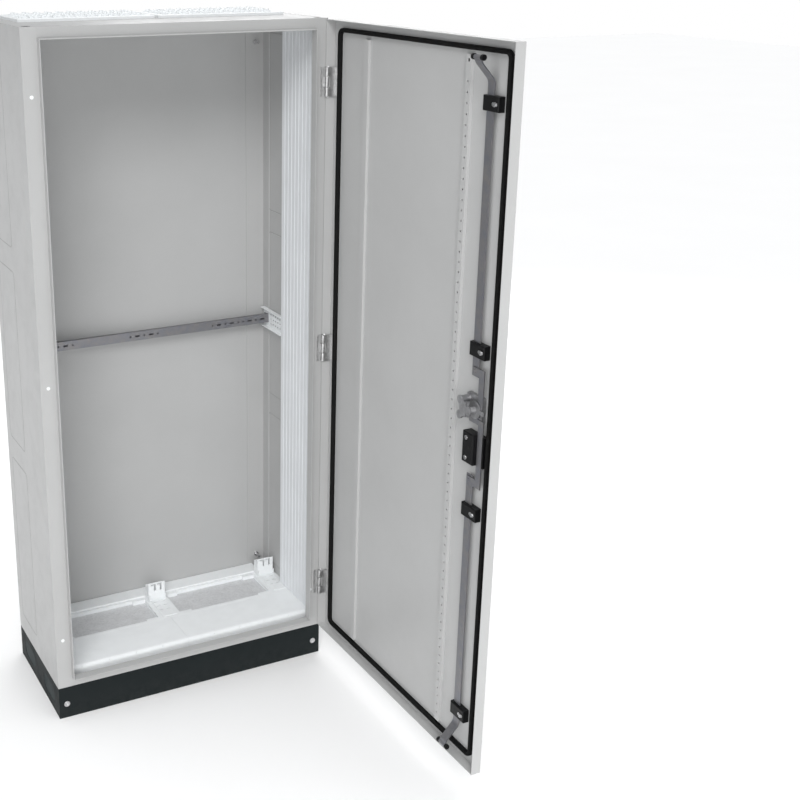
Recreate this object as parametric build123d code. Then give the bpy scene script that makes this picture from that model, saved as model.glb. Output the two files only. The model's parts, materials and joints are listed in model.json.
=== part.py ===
from build123d import *
import math
import os

# Floor-standing switchboard cabinet with its door open at a right angle. Millimetres.
# Origin: centre of the footprint, on the floor. X to the right, Y to the rear, Z up.

# ------------------------------------------------------------------ driving dimensions
body_width = 850.0
body_depth = 400.0
body_height = 1850.0
plinth_height = 100.0

sheet = 1.5                  # side, rear, roof, floor and door panels
frame_sheet = 2.0            # front frame
plinth_sheet = 2.0
fit_gap = 0.5                # between covers that lie side by side

# front frame
stile_face = 42.0
rail_face = 28.0
collar_front = 20.0          # collar round the opening, in front of the frame's face
collar_back = 8.0
keeper_lip = 20.0            # lip behind header and sill that the lock rollers run behind
plug_radius = 5.0
plug_proud = 1.2
plug_round = 0.8
plug_shank_radius = 4.0
plug_end = 2.0               # behind the frame's sheet
stile_plug_inset = 21.0
low_plug_height = 228.0
low_plug_reach = 9.0         # from the opening

# door pan
door_margin = 3.0            # door outline inside the body outline
door_depth = 28.0
door_round = 2.0
door_standoff = 6.0          # return tips in front of the frame's face
gasket_width = 12.0
gasket_gap = 0.5             # between gasket and collar when the door is shut
gasket_corner = 16.0

# hinges
hinge_axis_inset = 3.0       # from the door's edge
hinge_axis_front = 8.0       # in front of the frame's face
knuckle_radius = 6.0
pin_radius = 3.0
running_gap = 0.05           # radial clearance of every turning fit
door_knuckle = 24.0
frame_knuckle = 28.0
knuckle_gap = 1.0
hinge_leaf = 2.5
hinge_foot_width = 19.0      # on the door's skin
frame_leaf_width = 8.0
leaf_gap = 2.0               # between leaf and knuckles
knuckle_bite = 1.0           # of a leaf into its knuckle
notch_clear = 3.0            # round the middle knuckle
pin_end = 1.0                # beyond the knuckles
pin_head_gap = 0.3
pin_head_radius = 4.5
pin_head_height = 1.5
hinge_notch_margin = 3.0     # of the door's notch above and below a hinge
hinge_notch_front = 2.0      # and in front of it
low_hinge_offset = 151.0     # from the door's bottom edge
high_hinge_offset = 166.0    # from the door's top edge

# stiffeners on the door's inside
stiffener_inset = 184.0      # from the hinge edge
stiffener_width = 22.0
stiffener_proud = 8.0
rail_inset = 648.0
rail_width = 20.0
rail_proud = 9.0
rail_pitch = 25.0
rail_hole_radius = 2.6
rail_end_hole_radius = 4.5
strip_end_gap = 42.0         # from the door's top and bottom edges

# rod lock
rod_inset = 741.0            # rod centre from the hinge edge
rod_width = 26.0
rod_thick = 3.0
rod_proud = 7.0
rod_gap = 0.3
lock_height = 1080.0
spindle_inset = 755.0
spindle_radius = 4.5
spindle_clear = 1.5          # in the door's skin
rod_travel = 24.0            # of each rod, for a quarter turn of the handle
crank_pin_radius = 3.0
slot_play = 0.6
bar_width = 20.0
upper_bar_inset = 771.0
lower_bar_inset = 778.0
bar_thick = 3.0
upper_rod_foot = 1160.0
lower_rod_top = 905.0
bar_overlap = 24.0
cam_gap = 0.5                # between the drive bars and the cam
cam_radius = 22.0
cam_thick = 4.0
cam_arm = 39.0
cam_arm_width = 11.0
cam_arm_round = 4.0
lock_bridge_proud = 33.0
lock_bridge_thick = 4.0
guide_width = 60.0
guide_height = 35.0
guide_proud = 18.0
guide_heights_from_lock = (148.0, -271.0)
high_guide_offset = 141.0    # from the door's top edge
low_guide_offset = 132.0     # from the door's bottom edge
block_height = 80.0
block_proud = 25.0
block_wall = 5.0
block_body = 34.0            # beside the channel
block_screw_reach = 28.0
block_screw_end = 14.0
moulding_round = 3.0
guide_side = 6.0             # of a guide, beyond the rod on the hinge side
guide_screw_end = 12.0
washer_length = 20.0         # under a guide's screw
washer_width = 9.0
washer_thick = 1.0
washer_shift = 2.0
screw_radius = 5.5
screw_head = 2.6
screw_round = 1.2
screw_slot_deep = 1.0
screw_slot_width = 1.6
lock_base_side = 24.0        # lock body's base, from the spindle
lock_base_half_height = 34.0
lock_base_round = 5.0
pillar_reach = 34.0          # pillars, from the spindle
pillar_spread = 19.0
pillar_radius = 9.0
pillar_head_radius = 11.0
boss_radius = 9.0            # round the spindle, cam to bridge
roller_radius = 7.0
roller_width = 8.0
roller_round = 1.0
roller_pin_radius = 3.0
roller_gap = 0.5             # roller to keeper lip when locked
roller_side_gap = 0.6
roller_open_gap = 5.0        # roller to collar when unlocked
crank_end_straight = 10.0    # of a rod, behind its roller
crank_slope = 42.0
crank_bend_radius = 22.0
rod_eye_wall = 2.5
pin_head_reach = 1.5
bar_end = 8.0                # of a drive bar, beyond its crank slot's middle
bar_gap = 2.0                # between the two drive bars
bar_rivet_radius = 4.0
bar_rivet_proud = 2.0
jog_height = 14.0            # of the lower bar's arm under the spindle
jog_reach = 13.0
slide_gap = 1.0              # beside and beyond a drive bar's path

# outside handle
handle_base_thick = 8.0
handle_base_corner = 14.0
handle_base_round = 2.0
handle_base_width = 34.0
handle_base_above = 24.0
handle_base_below = 150.0
hub_radius = 15.0
hub_disc = 3.7
hub_gap = 0.3
neck_half = 5.0
neck_half_width = 6.0
pivot_rise = 5.3
lever_pin_radius = 2.0
lever_length = 140.0
lever_width = 25.0
lever_thick = 10.0
lever_ear_reach = 8.0
lever_end_round = 11.5
lever_edge_round = 1.5
barrel_radius = 8.0
barrel_clear = 1.0           # in the door's skin
barrel_proud = 2.0           # of the base plate
barrel_inside = 7.0          # behind the door's skin
keyway_width = 2.4
keyway_height = 10.0
keyway_deep = 8.0
barrel_drop = 115.0          # below the spindle

# roof and floor cable entries
entry_margin_side = 45.0
entry_front = 180.0          # plate's front edge behind the frame's face
entry_rear = 15.0            # plate's rear edge in front of the body's rear face
entry_gap = 10.0
entry_flange = 14.0
entry_thick = 8.0
entry_round = 2.5
entry_step = 1.0             # between the roof's cut-out and the part that drops into it
entry_plug = 3.0             # below the roof's sheet
membrane_pitch = 31.0
membrane_radius = 11.0
membrane_height = 7.0
nipple_radius = 6.0
nipple_height = 11.0
lifting_inset = 22.0
lifting_hole_radius = 12.0
lifting_thread_radius = 6.0
lifting_insert_thick = 8.0
lifting_flange = 3.0
lifting_sink = 0.5           # insert's collar below the roof's face

cover_top = 32.0             # top of the white floor parts above the body's underside
cover_front_gap = 42.0
cover_wall = 2.5
cover_round = 12.0
rib_pitch = 84.0
rib_half = 1.0
beam_depth = 56.0
beam_inset = 48.0
beam_rise = 5.0
beam_round = 3.0
floor_frame_depth = 156.0
window_margin = 12.0
window_step_width = 40.0
window_step_depth = 9.0
strip_width = 48.0
window_depth = 12.0          # gland plate's face below the covers' top
gland_overlap = 8.0
gland_wall = 2.0
knockouts = (                # across and deep as shares of the gland plate, and radius
    (0.16, 0.5, 22.0),
    (0.36, 0.32, 14.0),
    (0.36, 0.7, 14.0),
    (0.6, 0.5, 26.0),
    (0.84, 0.32, 12.0),
    (0.84, 0.7, 12.0),
)
knockout_ring = 1.2
knockout_ring_deep = 0.5
strip_thick = 2.0
tie_slot = 4.0
tie_slot_length = 14.0
tie_slot_pitch = 0.24        # of the strip's length
tie_slot_start = 0.4
comb_width = 56.0
comb_depth = 30.0
comb_height = 60.0
comb_wall = 3.0
comb_shoulder = 14.0         # of front wall above the side walls
comb_foot = 8.0
comb_foot_height = 20.0
comb_rear_gap = 2.0
comb_slot = 5.5
comb_slot_places = (-6.0, 14.0)
comb_slot_stem = 24.0
comb_slot_arm = 10.0

# inside
post_side_leg = 42.0
post_rear_leg = 60.0
post_sheet = 2.0
liner_front = 20.0
liner_depth = 225.0
liner_thick = 14.0
liner_wall = 2.0
liner_rib = 1.0
liner_bays = 9
liner_bay_start = 21.0       # from its front edge
liner_bay_share = 0.45       # of a bay that is sunk
liner_nose = 11.0
liner_chambers = 3
bracket_front = 250.0        # behind the frame's face
bracket_height = 60.0
bracket_flange = 14.0
bracket_sheet = 2.5
bracket_rear_gap = 10.0
bracket_hole_length = 9.0
bracket_hole_height = 6.0
bracket_hole_pitch = 16.0
bracket_row_pitch = 15.0
rail_drop = 13.0             # cross rail's centre below the body's mid height
cross_rail_height = 27.0
cross_rail_depth = 12.0
cross_rail_sheet = 1.5
rail_slot_pitch = 22.0
rail_slot_length = 14.0
rail_slot_height = 5.0
rail_round_hole = 2.6
rail_slot_ends = (150.0, 45.0)       # slot groups, from each end of the rail
cleat_sheet = 2.0
cleat_height = 24.0
cleat_face = 18.0
cleat_arm = 16.0
cross_rail_front = 352.0
stud_radius = 4.0
stud_length = 25.0
nut_radius = 7.5
nut_thick = 6.0
stud_low_offset = 70.0       # above the body's underside
stud_high_offset = 90.0      # below its top
knockout_front = 205.0
knockout_rear_gap = 38.0
knockout_line = 3.0
knockout_deep = 0.45
knockout_gap = 66.0
knockout_end = 60.0
knockout_corner = 14.0

# plinth
post_leg = 46.0
plinth_post_sheet = 3.0
floor_hole_radius = 7.0
body_bolt_radius = 5.0
body_bolt_gap = 0.5
body_bolt_inset = 30.0       # from the body's front and rear faces
plinth_screw_height = 45.0
plinth_screw_inset = 23.0
plinth_screw_radius = 9.0
plinth_screw_head = 2.0
plinth_screw_round = 1.2
plinth_thread_radius = 4.0
thread_end = 4.0             # of a screw, beyond what it holds
socket_radius = 3.6
socket_deep = 1.2
bolt_head_radius = 8.5
bolt_head_height = 5.5
bolt_end = 9.0
plinth_oval_length = 110.0
plinth_oval_height = 52.0
plinth_oval_deep = 0.7

# ------------------------------------------------------------------ places worked out from them
half_width = body_width / 2
front = -body_depth / 2
rear = body_depth / 2
floor_z = plinth_height
roof_z = plinth_height + body_height
wall_x = half_width - sheet
rear_wall = rear - sheet
opening_x = half_width - stile_face
opening_low = floor_z + rail_face
opening_high = roof_z - rail_face
collar_tip = front - collar_front
collar_end = front + collar_back
cover_z = floor_z + cover_top
floor_face = floor_z + sheet

door_half = half_width - door_margin
door_low = floor_z + door_margin
door_high = roof_z - door_margin
door_face = front - door_standoff - door_depth
skin = door_face + sheet
gasket_top = collar_tip - gasket_gap
hinge_x = door_half - hinge_axis_inset
hinge_y = front - hinge_axis_front
hinge_axis = Axis((hinge_x, hinge_y, 0), (0, 0, 1))
hinge_heights = (
    door_low + low_hinge_offset,
    (door_low + low_hinge_offset + door_high - high_hinge_offset) / 2,
    door_high - high_hinge_offset,
)
hinge_total = 2 * door_knuckle + frame_knuckle + 2 * knuckle_gap

rod_x = door_half - rod_inset
spindle_x = door_half - spindle_inset
bar_proud = rod_proud + rod_thick
cam_proud = bar_proud + bar_thick + cam_gap
crank_radius = rod_travel / (2 * math.sin(math.radians(45)))
jog_top = lock_height - rod_travel / 2 - bar_end - bar_gap
jog_low = jog_top - jog_height
block_z = jog_low - rod_travel - slide_gap - block_height / 2
barrel_z = lock_height - barrel_drop
guide_heights = (
    door_high - high_guide_offset,
    lock_height + guide_heights_from_lock[0],
    lock_height + guide_heights_from_lock[1],
    door_low + low_guide_offset,
)
collar_inner_high = opening_high - frame_sheet
collar_inner_low = opening_low + frame_sheet
roller_y = collar_end + roller_gap + roller_radius
roller_high = collar_inner_high - roller_open_gap - roller_radius
roller_low = collar_inner_low + roller_open_gap + roller_radius
base_face = door_face - handle_base_thick

entry_y0 = front + entry_front
entry_y1 = rear - entry_rear
entry_x1 = half_width - entry_margin_side
beam_y0 = rear_wall - beam_depth
frame_y0 = beam_y0 - floor_frame_depth
window_y0 = frame_y0 + window_margin
window_y1 = beam_y0
window_x0 = strip_width / 2 + window_margin
window_x1 = wall_x - fit_gap - strip_width - 2 * window_margin
gland_z = cover_z - window_depth
rail_z = floor_z + body_height / 2 - rail_drop


# ------------------------------------------------------------------ helpers
def slab(x0, x1, y0, y1, z0, z1):
    """A box given by its faces; each pair may come in either order."""
    centre = Pos((x0 + x1) / 2, (y0 + y1) / 2, (z0 + z1) / 2)
    return centre * Box(abs(x1 - x0), abs(y1 - y0), abs(z1 - z0))


def round_bar(start, direction, radius, length):
    """A cylinder that starts at a point and runs along a direction."""
    return extrude(Plane(origin=start, z_dir=direction) * Circle(radius), amount=length)


def group(solids):
    return Compound(children=list(solids))


def mirrored(shape):
    return mirror(shape, about=Plane.YZ)


def proud(distance):
    """Depth of a plane that stands this far off the door's inner skin, door shut."""
    return skin + distance


def save(name, shape):
    export_step(shape, f"parts/{name}.step")


def save_open(name, shape):
    """Door pieces are drawn with the door shut and saved with it open at a right angle."""
    save(name, shape.rotate(hinge_axis, 90))


# ------------------------------------------------------------------ plinth
def plinth_side():
    plate = slab(-half_width, -half_width + plinth_sheet, front + plinth_sheet, rear - plinth_sheet,
                 0, plinth_height)
    face = Plane(origin=(-half_width, 0, plinth_height / 2), x_dir=(0, 1, 0), z_dir=(-1, 0, 0))
    for side in (-1, 1):
        oval = face * Pos(side * body_depth / 4, 0) * SlotOverall(plinth_oval_length, plinth_oval_height)
        plate -= extrude(oval, amount=-plinth_oval_deep)
    return plate


def plinth_cover(y0, y1, screw_start, screw_direction):
    plate = slab(-half_width, half_width, y0, y1, 0, plinth_height)
    for side in (-1, 1):
        start = (side * (half_width - plinth_screw_inset), screw_start, plinth_screw_height)
        plate -= round_bar(start, screw_direction, plinth_thread_radius + body_bolt_gap, plinth_sheet)
    return plate


def plinth_corner(sx, sy):
    """An angle post with a foot plate and a top plate, in one corner of the plinth."""
    x0 = sx * (half_width - plinth_sheet)
    y0 = sy * (body_depth / 2 - plinth_sheet)
    x1 = x0 - sx * post_leg
    y1 = y0 - sy * post_leg
    post = slab(x0, x0 - sx * plinth_post_sheet, y0, y1, 0, plinth_height)
    post += slab(x0, x1, y0, y0 - sy * plinth_post_sheet, 0, plinth_height)
    post += slab(x0, x1, y0, y1, 0, plinth_post_sheet)
    post += slab(x0, x1, y0, y1, plinth_height - plinth_post_sheet, plinth_height)
    middle = (x0 - sx * post_leg / 2, y0 - sy * post_leg / 2)
    post -= round_bar((*middle, 0), (0, 0, 1), floor_hole_radius, plinth_post_sheet)
    bolt = body_bolt_place(sx, sy)
    post -= round_bar((*bolt, plinth_height - plinth_post_sheet), (0, 0, 1),
                      body_bolt_radius + body_bolt_gap, plinth_post_sheet)
    screw_x = sx * (half_width - plinth_screw_inset)
    return post - round_bar((screw_x, y0, plinth_screw_height), (0, -sy, 0), plinth_thread_radius,
                            plinth_post_sheet)


def body_bolt_place(sx, sy):
    x = sx * (half_width - plinth_sheet - post_leg / 2)
    return x, sy * (body_depth / 2 - body_bolt_inset)


def plinth_screw(sx, sy):
    x = sx * (half_width - plinth_screw_inset)
    face = sy * body_depth / 2
    head = round_bar((x, face, plinth_screw_height), (0, sy, 0), plinth_screw_radius, plinth_screw_head)
    head = fillet(head.edges().sort_by(Axis.Y)[-1 if sy > 0 else 0], plinth_screw_round)
    socket = Plane(origin=(x, face + sy * plinth_screw_head, plinth_screw_height), z_dir=(0, sy, 0))
    head -= extrude(socket * RegularPolygon(socket_radius, 6), amount=-socket_deep)
    shank = round_bar((x, face, plinth_screw_height), (0, -sy, 0), plinth_thread_radius,
                      plinth_sheet + plinth_post_sheet + thread_end)
    return head + shank


def plinth_bolt(sx, sy):
    x, y = body_bolt_place(sx, sy)
    hexagon = Plane(origin=(x, y, floor_face)) * RegularPolygon(bolt_head_radius, 6)
    head = extrude(hexagon, amount=bolt_head_height)
    shank = round_bar((x, y, floor_face), (0, 0, -1), body_bolt_radius,
                      sheet + plinth_post_sheet + bolt_end)
    return head + shank


def build_plinth():
    save("plinth_front_panel", plinth_cover(front, front + plinth_sheet, front, (0, 1, 0)))
    save("plinth_rear_panel", plinth_cover(rear - plinth_sheet, rear, rear, (0, -1, 0)))
    save("plinth_side_panels", group((plinth_side(), mirrored(plinth_side()))))
    corners = [(sx, sy) for sx in (-1, 1) for sy in (-1, 1)]
    save("plinth_corner_posts", group(plinth_corner(*corner) for corner in corners))
    save("plinth_screws", group(plinth_screw(*corner) for corner in corners))
    save("plinth_bolts", group(plinth_bolt(*corner) for corner in corners))


# ------------------------------------------------------------------ shell
def knockout_outline(x, direction):
    """Thin stamped lines of three rounded rectangles, cut into one face of a side panel."""
    y0 = front + knockout_front
    y1 = rear - knockout_rear_gap
    span = body_height - 2 * knockout_end - 2 * knockout_gap
    height = span / 3
    lines = None
    for index in range(3):
        middle_z = floor_z + knockout_end + height / 2 + index * (height + knockout_gap)
        place = Plane(origin=(x, (y0 + y1) / 2, middle_z), x_dir=(0, 1, 0), z_dir=(direction, 0, 0))
        outer = RectangleRounded(y1 - y0, height, knockout_corner)
        inner = RectangleRounded(y1 - y0 - 2 * knockout_line, height - 2 * knockout_line,
                                 knockout_corner - knockout_line)
        line = extrude(place * (outer - inner), amount=-knockout_deep)
        lines = line if lines is None else lines + line
    return lines


def side_panel():
    panel = slab(-half_width, -wall_x, front + frame_sheet, rear, floor_z, roof_z)
    panel -= knockout_outline(-half_width, -1)
    panel -= knockout_outline(-wall_x, 1)
    return panel


def roof_panel():
    panel = slab(-wall_x, wall_x, front + frame_sheet, rear_wall, roof_z - sheet, roof_z)
    for side in (-1, 1):
        x0 = side * (entry_gap / 2 + entry_flange)
        x1 = side * (entry_x1 - entry_flange)
        panel -= slab(x0, x1, entry_y0 + entry_flange, entry_y1 - entry_flange, roof_z - sheet, roof_z)
    for x, y in lifting_places():
        panel -= round_bar((x, y, roof_z), (0, 0, -1), lifting_hole_radius, sheet)
    return panel


def lifting_places():
    return [(sx * (half_width - lifting_inset), sy * (body_depth / 2 - lifting_inset))
            for sx in (-1, 1) for sy in (-1, 1)]


def lifting_insert(x, y):
    """A threaded steel disc under each lifting hole, with a collar that fills the hole."""
    top = roof_z - sheet
    insert = round_bar((x, y, top), (0, 0, -1), lifting_hole_radius + lifting_flange, lifting_insert_thick)
    insert += round_bar((x, y, top), (0, 0, 1), lifting_hole_radius, sheet - lifting_sink)
    return insert - round_bar((x, y, roof_z), (0, 0, -1), lifting_thread_radius,
                              sheet + lifting_insert_thick)


def floor_panel():
    panel = slab(-wall_x, wall_x, front + frame_sheet, rear_wall, floor_z, floor_face)
    for side in (-1, 1):
        panel -= slab(side * window_x0, side * window_x1, window_y0, window_y1, floor_z, floor_face)
    for sx in (-1, 1):
        for sy in (-1, 1):
            x, y = body_bolt_place(sx, sy)
            panel -= round_bar((x, y, floor_z), (0, 0, 1), body_bolt_radius + body_bolt_gap, sheet)
    return panel


def front_stile(side):
    """A flat face, and the opening's collar welded along its inner edge."""
    outer = side * half_width
    inner = side * opening_x
    face = slab(outer, inner, front, front + frame_sheet, floor_z, roof_z)
    for x, z in plug_places(side):
        face -= round_bar((x, front, z), (0, 1, 0), plug_shank_radius, frame_sheet)
    collar = slab(inner, side * (opening_x - frame_sheet), collar_tip, collar_end,
                  collar_inner_low - frame_sheet, collar_inner_high + frame_sheet)
    return group((face, collar))


def plug_places(side):
    x = side * (half_width - stile_plug_inset)
    if side < 0:
        return [(x, z) for z in hinge_heights]
    return [(side * (opening_x + low_plug_reach), low_plug_height)]


def front_crossmember(face_edge, opening_edge, inward):
    """Header or sill: face, collar towards the opening, and the keeper lip behind the collar."""
    x = opening_x
    collar_x = opening_x - frame_sheet
    member = slab(-x, x, front, front + frame_sheet, face_edge, opening_edge)
    collar_z = opening_edge + inward * frame_sheet
    member += slab(-collar_x, collar_x, collar_tip, collar_end, opening_edge, collar_z)
    member += slab(-collar_x, collar_x, collar_end - frame_sheet, collar_end, collar_z,
                   collar_z - inward * keeper_lip)
    return member


def hole_plug(x, z):
    head = round_bar((x, front, z), (0, -1, 0), plug_radius, plug_proud)
    head = fillet(head.edges().sort_by(Axis.Y)[0], plug_round)
    return head + round_bar((x, front, z), (0, 1, 0), plug_shank_radius, frame_sheet + plug_end)


def build_shell():
    save("side_panel_left", side_panel())
    save("side_panel_right", mirrored(side_panel()))
    save("rear_panel", slab(-wall_x, wall_x, rear_wall, rear, floor_z, roof_z))
    save("roof_panel", roof_panel())
    save("floor_panel", floor_panel())
    save("front_stile_left", front_stile(-1))
    save("front_stile_right", front_stile(1))
    save("front_header", front_crossmember(roof_z, opening_high, -1))
    save("front_sill", front_crossmember(floor_z, opening_low, 1))
    save("lifting_inserts", group(lifting_insert(x, y) for x, y in lifting_places()))
    places = plug_places(-1) + plug_places(1)
    save("frame_hole_plugs", group(hole_plug(x, z) for x, z in places))


# ------------------------------------------------------------------ cable entries in the roof
def membrane_grid():
    """Centres of the membranes on one roof plate, in rows that fill the plate."""
    x0 = entry_gap / 2 + entry_flange
    x1 = entry_x1 - entry_flange
    y0 = entry_y0 + entry_flange
    y1 = entry_y1 - entry_flange
    columns = int((x1 - x0) // membrane_pitch)
    rows = int((y1 - y0) // membrane_pitch)
    first_x = (x0 + x1) / 2 - (columns - 1) * membrane_pitch / 2
    first_y = (y0 + y1) / 2 - (rows - 1) * membrane_pitch / 2
    return [(first_x + i * membrane_pitch, first_y + j * membrane_pitch)
            for i in range(columns) for j in range(rows)]


def roof_entry():
    """A flanged plastic plate with a field of stepped membranes, dropped into the roof's cut-out."""
    x0 = entry_gap / 2
    plate = slab(x0, entry_x1, entry_y0, entry_y1, roof_z, roof_z + entry_thick)
    plate = fillet(plate.edges().group_by(Axis.Z)[-1], entry_round)
    inset = entry_flange + entry_step
    plate -= slab(x0 + inset, entry_x1 - inset, entry_y0 + inset, entry_y1 - inset,
                  roof_z + entry_thick / 2, roof_z + entry_thick)
    plate += slab(x0 + inset, entry_x1 - inset, entry_y0 + inset, entry_y1 - inset,
                  roof_z - sheet - entry_plug, roof_z)
    bed = roof_z + entry_thick / 2
    for x, y in membrane_grid():
        plate += round_bar((x, y, bed), (0, 0, 1), membrane_radius, membrane_height)
        plate += round_bar((x, y, bed), (0, 0, 1), nipple_radius, nipple_height)
    return plate


# ------------------------------------------------------------------ floor parts
def stepped_window(x0, x1, y0, y1, z0, z1):
    """An opening whose four corners are stepped in."""
    window = slab(x0, x1, y0 + window_step_depth, y1 - window_step_depth, z0, z1)
    return window + slab(x0 + window_step_width, x1 - window_step_width, y0, y1, z0, z1)


def floor_frame():
    """A moulded frame round one gland plate: a top with a stepped window, and walls down to the floor."""
    x0 = fit_gap / 2
    x1 = wall_x - fit_gap
    tray = slab(x0, x1, frame_y0, beam_y0 - fit_gap, floor_face, cover_z)
    tray -= slab(x0 + cover_wall, x1 - cover_wall, frame_y0 + cover_wall,
                 beam_y0 - fit_gap - cover_wall, floor_face, cover_z - cover_wall)
    rim = cover_wall
    tray += slab(window_x0 - rim, window_x1 + rim, window_y0 - rim, window_y1 - fit_gap - 2 * rim,
                 gland_z, cover_z)
    tray -= stepped_window(window_x0, window_x1, window_y0, window_y1 - fit_gap - 3 * rim,
                           gland_z, cover_z)
    for x in strip_places()[1:]:
        tray -= tie_slots(x, cover_z - cover_wall, cover_z)
    return tray


def gland_plate():
    """A pressed steel plate on a rim, with round knock-outs, under the window."""
    x0 = window_x0 - gland_overlap
    x1 = window_x1 + gland_overlap
    y0 = frame_y0 + cover_wall + fit_gap
    y1 = beam_y0 - 2 * fit_gap - cover_wall
    plate = slab(x0, x1, y0, y1, floor_face, gland_z)
    plate -= slab(x0 + gland_wall, x1 - gland_wall, y0 + gland_wall, y1 - gland_wall,
                  floor_face, gland_z - gland_wall)
    for across, deep, radius in knockouts:
        centre = (x0 + (x1 - x0) * across, y0 + (y1 - y0) * deep, gland_z)
        ring = Plane(origin=centre) * (Circle(radius) - Circle(radius - knockout_ring))
        plate -= extrude(ring, amount=-knockout_ring_deep)
    return plate


def front_cover():
    """A hollow moulded cover in front of the gland plate, with a rounded front edge and ribs."""
    x0 = fit_gap / 2
    x1 = wall_x - fit_gap
    y0 = front + cover_front_gap
    y1 = frame_y0 - fit_gap
    cover = slab(x0, x1, y0, y1, floor_face, cover_z)
    cover = fillet(cover.edges().filter_by(Axis.X).group_by(Axis.Y)[0].sort_by(Axis.Z)[-1], cover_round)
    hollow = slab(x0 + cover_wall, x1 - cover_wall, y0 + cover_wall, y1 - cover_wall,
                  floor_face, cover_z - cover_wall)
    hollow = fillet(hollow.edges().filter_by(Axis.X).group_by(Axis.Y)[0].sort_by(Axis.Z)[-1],
                    cover_round - cover_wall)
    cover -= hollow
    bays = max(2, round((x1 - x0) / rib_pitch))
    for index in range(1, bays):
        x = x0 + (x1 - x0) * index / bays
        cover += slab(x - rib_half, x + rib_half, y0 + cover_wall / 2, y1 - cover_wall / 2,
                      floor_face + cover_round, cover_z - cover_wall / 2)
    return cover


def rear_beam():
    x = half_width - beam_inset
    top = cover_z + beam_rise
    y1 = rear_wall - post_sheet
    beam = slab(-x, x, beam_y0, y1, floor_face, top)
    beam = fillet(beam.edges().filter_by(Axis.X).group_by(Axis.Y)[0].sort_by(Axis.Z)[-1], beam_round)
    beam -= slab(-x + cover_wall, x - cover_wall, beam_y0 + cover_wall, y1 - cover_wall,
                 floor_face, top - cover_wall)
    bays = round(2 * x / rib_pitch)
    for index in range(1, bays):
        rib = -x + 2 * x * index / bays
        beam += slab(rib - rib_half, rib + rib_half, beam_y0 + cover_wall / 2, y1 - cover_wall / 2,
                     floor_face, top - cover_wall / 2)
    return beam


def strip_places():
    edge = wall_x - fit_gap - strip_width / 2 - window_margin
    return (-edge, 0.0, edge)


def strip_span():
    return frame_y0 + window_margin, beam_y0 - comb_depth - comb_foot


def tie_slots(x, z0, z1):
    """Two columns of three slots for cable ties, through a strip or what is under it."""
    y0, y1 = strip_span()
    slots = []
    for column in (-1, 1):
        middle = x + column * strip_width / 4
        for row in range(3):
            y = y0 + (y1 - y0) * (tie_slot_start + tie_slot_pitch * row)
            slots.append(slab(middle - tie_slot_length / 2, middle + tie_slot_length / 2,
                              y - tie_slot / 2, y + tie_slot / 2, z0, z1))
    return slots


def slotted_strip(x):
    """A strip beside a window, with its tie slots."""
    half = strip_width / 2 - strip_thick
    strip = slab(x - half, x + half, *strip_span(), cover_z, cover_z + strip_thick)
    return strip - tie_slots(x, cover_z, cover_z + strip_thick)


def cable_comb(x):
    """A small hollow upright whose front has two J-shaped slots that hold cable ties."""
    y1 = beam_y0 - comb_rear_gap
    y0 = y1 - comb_depth
    half = comb_width / 2
    top = cover_z + comb_height
    shoulder = top - comb_shoulder
    comb = slab(x - half, x + half, y0, y0 + comb_wall, cover_z, top)
    comb += slab(x - half, x + half, y1 - comb_wall, y1, cover_z, shoulder)
    comb += slab(x - half, x + half, y0, y1, cover_z, cover_z + comb_wall)
    for side in (-1, 1):
        wall = x + side * (half - comb_wall)
        comb += slab(x + side * half, wall, y0, y1, cover_z, shoulder)
        comb += slab(x + side * half, wall, y0 - comb_foot, y0, cover_z, cover_z + comb_foot_height)
    slot_top = top - comb_wall
    for place in comb_slot_places:
        edge = x + place + comb_slot / 2
        comb -= slab(edge - comb_slot, edge, y0, y0 + comb_wall, slot_top - comb_slot_stem, slot_top)
        comb -= slab(edge - comb_slot - comb_slot_arm, edge, y0, y0 + comb_wall,
                     slot_top - comb_slot, slot_top)
    return comb


def build_cable_entries():
    save("roof_entry_right", roof_entry())
    save("roof_entry_left", mirrored(roof_entry()))
    save("floor_frame_right", floor_frame())
    save("floor_frame_left", mirrored(floor_frame()))
    save("gland_plate_right", gland_plate())
    save("gland_plate_left", mirrored(gland_plate()))
    save("front_cover_right", front_cover())
    save("front_cover_left", mirrored(front_cover()))
    save("rear_beam", rear_beam())
    save("slotted_strips", group(slotted_strip(x) for x in strip_places()))
    save("cable_combs", group(cable_comb(x) for x in strip_places()))


# ------------------------------------------------------------------ inside of the body
def rear_post(side):
    """The two strips of an angle in a rear corner: one on the rear panel, one on the side wall."""
    z0 = floor_face
    z1 = roof_z - sheet
    outer = side * wall_x
    rear_strip = slab(side * (wall_x - post_rear_leg), outer, rear_wall - post_sheet, rear_wall, z0, z1)
    side_strip = slab(side * (wall_x - post_sheet), outer, rear_wall - post_side_leg,
                      rear_wall - post_sheet, z0, z1)
    return [rear_strip, side_strip]


def rail_bracket():
    """A perforated channel on the rear post, reaching forward along the side wall."""
    y0 = front + bracket_front
    y1 = rear_wall - bracket_rear_gap
    x1 = wall_x - post_sheet
    x0 = x1 - bracket_flange
    z0 = rail_z - bracket_height / 2
    z1 = rail_z + bracket_height / 2
    bracket = slab(x1 - bracket_sheet, x1, y0, y1, z0, z1)
    bracket += slab(x0, x1, y0, y1, z0, z0 + bracket_sheet)
    bracket += slab(x0, x1, y0, y1, z1 - bracket_sheet, z1)
    count = int((cross_rail_front - bracket_front) // bracket_hole_pitch)
    for row in (-1, 0, 1):
        z = rail_z + row * bracket_row_pitch
        for index in range(count):
            y = y0 + (index + 0.5) * bracket_hole_pitch
            bracket -= slab(x1 - bracket_sheet, x1, y - bracket_hole_length / 2,
                            y + bracket_hole_length / 2, z - bracket_hole_height / 2,
                            z + bracket_hole_height / 2)
    return bracket


def rail_end():
    return wall_x - post_sheet - bracket_sheet


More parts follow.
